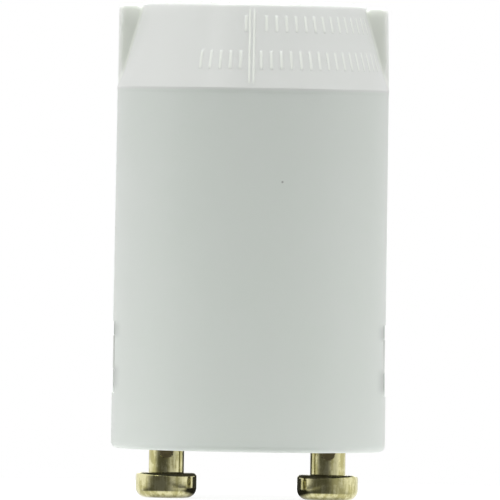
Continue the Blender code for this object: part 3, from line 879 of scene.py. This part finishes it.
def beyond(tree, value, low, high):
    """Eased share of the way of a value back from high to low."""
    return calculate(tree, "SUBTRACT", 1.0, between(tree, value, low, high))


def mixed(tree, share, first, second):
    """Value between two others, each a socket or a number."""
    made = tree.nodes.new("ShaderNodeMix")
    fill(tree, [made.inputs[name] for name in ("Factor", "A", "B")], (share, first, second))
    return made.outputs["Result"]


def blend_colours(tree, share, first, second):
    """Colour between two others, each a socket or three numbers."""
    made = tree.nodes.new("ShaderNodeMix")
    made.data_type = "RGBA"
    for name, value in (("A", first), ("B", second)):
        if isinstance(value, (tuple, list)):
            made.inputs[name].default_value = (*value, 1)
        else:
            tree.links.new(value, made.inputs[name])
    tree.links.new(share, made.inputs["Factor"])
    return made.outputs["Result"]


def blend_shaders(tree, share, first, second):
    """Shader between two others."""
    made = tree.nodes.new("ShaderNodeMixShader")
    fill(tree, made.inputs, (share, first, second))
    return made.outputs[0]


def bump(tree, shader, height, distance):
    """Small relief on a shader."""
    made = add(tree, "ShaderNodeBump", strength=1.0, distance=distance)
    tree.links.new(height, made.inputs["Height"])
    tree.links.new(made.outputs["Normal"], shader.inputs["Normal"])
    return made


def object_place(tree):
    """Object coordinates, which are the row frame's."""
    return tree.nodes.new("ShaderNodeTexCoord").outputs["Object"]


def any_ray(tree, ray, names):
    """1 where a ray is of either of the two named kinds."""
    first, second = names
    return calculate(tree, "MAXIMUM", ray.outputs[first], ray.outputs[second])


def cone_masks(tree, place):
    """Shares of being above the shoulder, of standing proud of the cone, and of being low on a wing; the
    last two place the painted highlight on raised marks and the painted light on the wings.
    """
    height = axes(tree, place)["Z"]
    radius = vector_math(tree, "LENGTH", vector_math(tree, "MULTIPLY", place, (1, 1, 0)))
    lean = CONE_TAPER / CONE_HEIGHT
    proud = calculate(tree, "ADD", radius, calculate(tree, "MULTIPLY", height, lean))
    proud = calculate(tree, "SUBTRACT", proud, SHOULDER_RADIUS + SHOULDER * lean)
    above = between(tree, height, *ABOVE_EDGES)
    raised = calculate(tree, "MULTIPLY", above, between(tree, proud, *MARK_EDGES))
    below_tip = beyond(tree, height, *WING_TIP_EDGES)
    wing = calculate(tree, "MULTIPLY", between(tree, proud, *WING_EDGES), below_tip)
    return above, raised, wing


def painted_latch_shade(tree, place):
    """Share of the soft painted shade beside the windows, which stands in for the shadow of the latch arms
    seen through the milky wall.
    """
    split = axes(tree, place)
    bands = []
    for start, full, fade, end in PAINTED_LATCH_SHADES:
        rise = between(tree, split["Z"], start, full)
        bands.append(calculate(tree, "SUBTRACT", rise, between(tree, split["Z"], fade, end)))
    near = between(tree, calculate(tree, "ABSOLUTE", split["X"]), *PAINTED_LATCH_SHADE_EDGES)
    return calculate(tree, "MULTIPLY", near, calculate(tree, "ADD", *bands))


def fleck_share(tree, place):
    """Share of the small dark fleck in the plastic, on the front of the body."""
    return beyond(tree, vector_math(tree, "DISTANCE", place, FLECK_PLACE), *FLECK_EDGES)


def canister_material():
    """Milky, faintly green plastic: polished cone, fine-grained body, a painted highlight where it is
    raised, and painted shade beside the windows.
    """
    finish, tree, shader = new_material("canister_plastic")
    place = object_place(tree)
    above, raised, wing = cone_masks(tree, place)
    colour = blend_colours(tree, noise(tree, place, scale=160, detail=3), *BODY_COLOURS)
    colour = blend_colours(tree, above, colour, CONE_COLOUR)
    # Painted highlight and light: raised marks and wings paler than the cone, for light catching them
    colour = blend_colours(tree, raised, colour, blend_colours(tree, wing, MARK_HIGHLIGHT_COLOUR, WING_LIGHT_COLOUR))
    # Painted shade: darker bands beside the windows, where the latches shade the wall from inside
    colour = blend_colours(tree, painted_latch_shade(tree, place), colour, PAINTED_LATCH_SHADE_COLOUR)
    colour = blend_colours(tree, fleck_share(tree, place), colour, FLECK_COLOUR)
    tree.links.new(colour, shader.inputs["Base Color"])
    coarse = spread(tree, noise(tree, place, scale=900, detail=3), 0.36, 0.46)
    smoother = calculate(tree, "MULTIPLY", above, 0.10)
    tree.links.new(calculate(tree, "SUBTRACT", coarse, smoother), shader.inputs["Roughness"])
    grain = bump(tree, shader, noise(tree, place, scale=7000), 0.005 * MM)
    tree.links.new(spread(tree, above, 1.0, 0.6), grain.inputs["Strength"])
    shader.inputs["Specular IOR Level"].default_value = 0.25
    shader.inputs["Subsurface Weight"].default_value = 1.0
    shader.inputs["Subsurface Radius"].default_value = (1.0, 1.0, 1.0)
    shader.inputs["Subsurface Scale"].default_value = 0.6 * MM
    return finish


def stake_mask(tree, place):
    """Share of lying in a staking mark, which is painted dark and less metallic as painted shade in its
    hollow.
    """
    middle = (PIN_OFFSET, PIN_NECK_RADIUS + STAKE_BALL_RADIUS - STAKE_DEPTH, RIM)
    away = vector_math(tree, "DISTANCE", vector_math(tree, "ABSOLUTE", place), middle)
    return beyond(tree, away, *[STAKE_BALL_RADIUS + edge for edge in STAKE_EDGES])


def brass_material():
    """Turned brass, slightly dull, with fine turning rings, streaks up its sides and olive stains."""
    finish, tree, shader = new_material("brass")
    place = object_place(tree)
    upright = vector_math(tree, "MULTIPLY", place, (1, 1, 0.12))
    streaks = noise(tree, upright, scale=2600, detail=3, roughness=0.6)
    stains = noise(tree, place, scale=1100, detail=4, roughness=0.65)
    tarnish = between(tree, calculate(tree, "ADD", streaks, stains), 0.88, 1.16)
    colour = blend_colours(tree, tarnish, *BRASS_COLOURS)
    # Painted shade: the staking marks are coloured dark brown and made less metallic, for the shade in their
    # hollows
    struck = stake_mask(tree, place)
    tree.links.new(blend_colours(tree, struck, colour, STAKE_SHADE_COLOUR), shader.inputs["Base Color"])
    tree.links.new(spread(tree, stains, 0.07, 0.20), shader.inputs["Roughness"])
    tree.links.new(spread(tree, struck, 1.0, 0.55), shader.inputs["Metallic"])
    rings = noise(tree, vector_math(tree, "MULTIPLY", place, (0.06, 0.06, 1)), scale=9000)
    dents = calculate(tree, "MULTIPLY", noise(tree, place, scale=1600, detail=3), 4.0)
    bump(tree, shader, calculate(tree, "ADD", rings, dents), 0.0012 * MM)
    return finish


def plain_material(name, first, second, roughness, metallic=0.0, transmission=0.0, scale=1500):
    """Material of a hidden piece: two near colours in a fine noise, with a little relief."""
    finish, tree, shader = new_material(name)
    place = object_place(tree)
    colour = blend_colours(tree, noise(tree, place, scale, detail=3), first, second)
    tree.links.new(colour, shader.inputs["Base Color"])
    tree.links.new(spread(tree, noise(tree, place, 3 * scale), roughness - 0.05, roughness + 0.05),
                   shader.inputs["Roughness"])
    shader.inputs["Metallic"].default_value = metallic
    shader.inputs["Transmission Weight"].default_value = transmission
    bump(tree, shader, noise(tree, place, 4 * scale), 0.003 * MM)
    return finish


def dress(node, finish):
    """Puts a finish on a CAD node that stays."""
    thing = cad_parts[node]
    thing.data.materials.clear()
    thing.data.materials.append(finish)


# Floor, light and camera

def make_stage_piece(name, mesh_maker, finish):
    """Object of the studio, which isn't part of the starter."""
    mesh = bpy.data.meshes.new(name)
    mesh_maker.to_mesh(mesh)
    mesh_maker.free()
    mesh.materials.append(finish)
    thing = bpy.data.objects.new(name, mesh)
    bpy.context.scene.collection.objects.link(thing)
    return thing


def join_output(tree, kind, surface):
    """Adds a tree's output node and joins a surface to it."""
    output = tree.nodes.new(kind)
    tree.links.new(surface, output.inputs["Surface"])


def room_in_gloss(tree, direction):
    """How bright gloss shows the surroundings: white, with a dim room on the camera's side."""
    level = 1.0
    for turn, edges, dim in ROOM:
        towards = vector_math(tree, "DOT_PRODUCT", direction, (sin(turn), -cos(turn), 0))
        zone = mixed(tree, between(tree, towards, *edges), 1.0, dim)
        level = calculate(tree, "MULTIPLY", level, zone)
    return level


def floor_in_gloss(tree, split, aside):
    """How bright gloss shows the floor: as the room from each pin, with painted shade grey under its head
    and dark in the gap.
    """
    nearest = calculate(tree, "MULTIPLY", calculate(tree, "SIGN", split["X"]), PIN_OFFSET)
    around = tree.nodes.new("ShaderNodeCombineXYZ")
    tree.links.new(calculate(tree, "SUBTRACT", split["X"], nearest), around.inputs["X"])
    tree.links.new(split["Y"], around.inputs["Y"])
    away = vector_math(tree, "LENGTH", around.outputs[0])
    direction = vector_math(tree, "NORMALIZE", around.outputs[0])
    level = mixed(tree, between(tree, away, *RING_EDGES), 1.0, room_in_gloss(tree, direction))
    under = calculate(tree, "MULTIPLY", beyond(tree, aside, *UNDER_ENDS), beyond(tree, away, *UNDER_EDGES))
    level = mixed(tree, under, level, UNDER_SHADE_LEVEL)
    ahead = calculate(tree, "MULTIPLY", split["Y"], -1.0)
    gap = calculate(tree, "MULTIPLY", beyond(tree, aside, *GAP_EDGES), beyond(tree, ahead, *GAP_ENDS))
    return mixed(tree, gap, level, GAP_SHADE_LEVEL)


def make_floor():
    """Small white disc that keeps the object's shadow and is otherwise as white as the world."""
    finish, tree = bare_material("floor_white")
    place = object_place(tree)
    split = axes(tree, place)
    aside = calculate(tree, "ABSOLUTE", split["X"])
    diffuse = tree.nodes.new("ShaderNodeBsdfDiffuse")
    outward = between(tree, aside, *FLOOR_SIDE_EDGES)
    white = blend_colours(tree, outward, [FLOOR_ALBEDO] * 3, [FLOOR_SIDE_ALBEDO] * 3)
    tree.links.new(white, diffuse.inputs["Color"])
    reach = between(tree, vector_math(tree, "LENGTH", place), *LIFT_EDGES)
    lift = spread(tree, reach, BASE_LIFT, FLOOR_LIFT)
    glow = tree.nodes.new("ShaderNodeEmission")
    ray = tree.nodes.new("ShaderNodeLightPath")
    seen = any_ray(tree, ray, ("Is Camera Ray", "Is Transmission Ray"))
    tree.links.new(mixed(tree, seen, lift, FLOOR_GLOW), glow.inputs["Strength"])
    lifted = tree.nodes.new("ShaderNodeAddShader")
    fill(tree, lifted.inputs, (diffuse.outputs[0], glow.outputs[0]))
    sheen = tree.nodes.new("ShaderNodeEmission")
    tree.links.new(floor_in_gloss(tree, split, aside), sheen.inputs["Strength"])
    top = blend_shaders(tree, ray.outputs["Is Glossy Ray"], lifted.outputs[0], sheen.outputs[0])
    from_below = tree.nodes.new("ShaderNodeNewGeometry").outputs["Backfacing"]
    clear = tree.nodes.new("ShaderNodeBsdfTransparent").outputs[0]
    join_output(tree, "ShaderNodeOutputMaterial", blend_shaders(tree, from_below, top, clear))
    shape = bmesh.new()
    bmesh.ops.create_circle(shape, cap_ends=True, segments=96, radius=FLOOR_RADIUS)
    make_stage_piece("floor", shape, finish)


def make_dark_card():
    """Dark cards behind the gap between the pins and under the base, which only gloss shows: painted shade
    for the shaded ground behind the pins and the shaded underside of the base.
    """
    finish, tree = bare_material("card_black")
    black = tree.nodes.new("ShaderNodeBsdfDiffuse")
    black.inputs["Color"].default_value = (*CARD_SHADE_COLOUR, 1)
    join_output(tree, "ShaderNodeOutputMaterial", black.outputs[0])
    shape = bmesh.new()
    outline = (
        (CARD_LOW_NEAR, CARD_FOOT), (CARD_FAR, CARD_FOOT), (CARD_FAR, RIM),
        (CARD_HIGH_NEAR, RIM), (CARD_HIGH_NEAR, PIN_HEAD_HEIGHT), (CARD_LOW_NEAR, PIN_HEAD_HEIGHT),
    )
    shape.faces.new([shape.verts.new((0, y, z)) for y, z in outline])
    bmesh.ops.create_circle(shape, cap_ends=True, segments=64, radius=CARD_RADIUS,
                            matrix=Matrix.Translation((0, 0, RIM - CARD_BELOW_BASE)))
    card = make_stage_piece("dark_card", shape, finish)
    card.visible_camera = False
    card.visible_diffuse = False
    card.visible_transmission = False
    card.visible_shadow = False


def make_world():
    """White surroundings that light the object most from its sides; gloss shows a dim room in front."""
    world = bpy.data.worlds.new("studio")
    bpy.context.scene.world = world
    world.use_nodes = True
    tree = world.node_tree
    tree.nodes.clear()
    place = tree.nodes.new("ShaderNodeTexCoord").outputs["Generated"]
    split = axes(tree, place)
    sides = calculate(tree, "POWER", calculate(tree, "ABSOLUTE", split["X"]), 4.0)
    upward = calculate(tree, "ADD", calculate(tree, "MULTIPLY", split["Z"], WORLD_LEAN), WORLD_SIDES)
    strength = calculate(tree, "MULTIPLY", sides, upward)
    ray = tree.nodes.new("ShaderNodeLightPath")
    strength = mixed(tree, ray.outputs["Is Glossy Ray"], strength, room_in_gloss(tree, place))
    strength = mixed(tree, any_ray(tree, ray, ("Is Camera Ray", "Is Transmission Ray")), strength, 1.0)
    background = tree.nodes.new("ShaderNodeBackground")
    background.inputs["Color"].default_value = (1, 1, 1, 1)
    tree.links.new(strength, background.inputs["Strength"])
    join_output(tree, "ShaderNodeOutputWorld", background.outputs[0])


def make_lamp(name, azimuth, elevation, distance, width, height, power):
    """Soft box that faces the object. Azimuth 0 is the camera's side, and positive is to its right."""
    lamp = bpy.data.lights.new(name, "AREA")
    lamp.shape = "RECTANGLE"
    lamp.size = width
    lamp.size_y = height
    lamp.energy = power
    thing = bpy.data.objects.new(name, lamp)
    bpy.context.scene.collection.objects.link(thing)
    azimuth, elevation = radians(azimuth), radians(elevation)
    level = cos(elevation)
    direction = Vector((sin(azimuth) * level, -cos(azimuth) * level, sin(elevation)))
    thing.location = direction * distance + Vector((0, 0, TOP / 2))
    thing.rotation_mode = "QUATERNION"
    thing.rotation_quaternion = direction.to_track_quat("Z", "Y")


def make_camera():
    """Long lens at the photo's eye level, with the photo's slight roll."""
    camera = bpy.data.cameras.new("camera")
    camera.sensor_width = SENSOR_WIDTH
    camera.lens = CAMERA_DISTANCE * SENSOR_WIDTH / VIEW_WIDTH
    camera.clip_start = 0.01
    camera.clip_end = 10.0
    thing = bpy.data.objects.new("camera", camera)
    bpy.context.scene.collection.objects.link(thing)
    thing.location = (VIEW_CENTRE_X, -CAMERA_DISTANCE, CAMERA_HEIGHT)
    aim = Vector((VIEW_CENTRE_X, 0, VIEW_CENTRE_Z)) - thing.location
    thing.rotation_mode = "QUATERNION"
    thing.rotation_quaternion = aim.to_track_quat("-Z", "Y") @ Quaternion((0, 0, 1), CAMERA_ROLL)
    bpy.context.scene.camera = thing


canister = make_canister()
canister.data.materials.append(canister_material())
brass = brass_material()
for side in ("left", "right"):
    make_pin(side).data.materials.append(brass)

wire = plain_material("nickel_wire", (0.42, 0.42, 0.40), (0.50, 0.50, 0.48), 0.32, metallic=1.0)
dress("base_disc", plain_material("base_plastic", (0.58, 0.60, 0.57), (0.62, 0.64, 0.61), 0.48))
dress("glow_bulb_envelope", plain_material(
    "bulb_glass", (0.92, 0.94, 0.94), (0.96, 0.97, 0.97), 0.08, transmission=1.0))
for node in ("fixed_electrode", "bimetal_post", "capacitor_lead_left", "capacitor_lead_right"):
    dress(node, wire)
dress("bimetal_strip", plain_material("bimetal", (0.28, 0.28, 0.26), (0.36, 0.35, 0.32), 0.38, metallic=1.0))
dress("capacitor_body", plain_material("capacitor_resin", (0.40, 0.16, 0.03), (0.48, 0.22, 0.05), 0.35))

make_floor()
make_dark_card()
make_world()
for name, values in LAMPS.items():
    make_lamp(name, *values)
make_camera()
bpy.context.scene.view_settings.view_transform = "Standard"
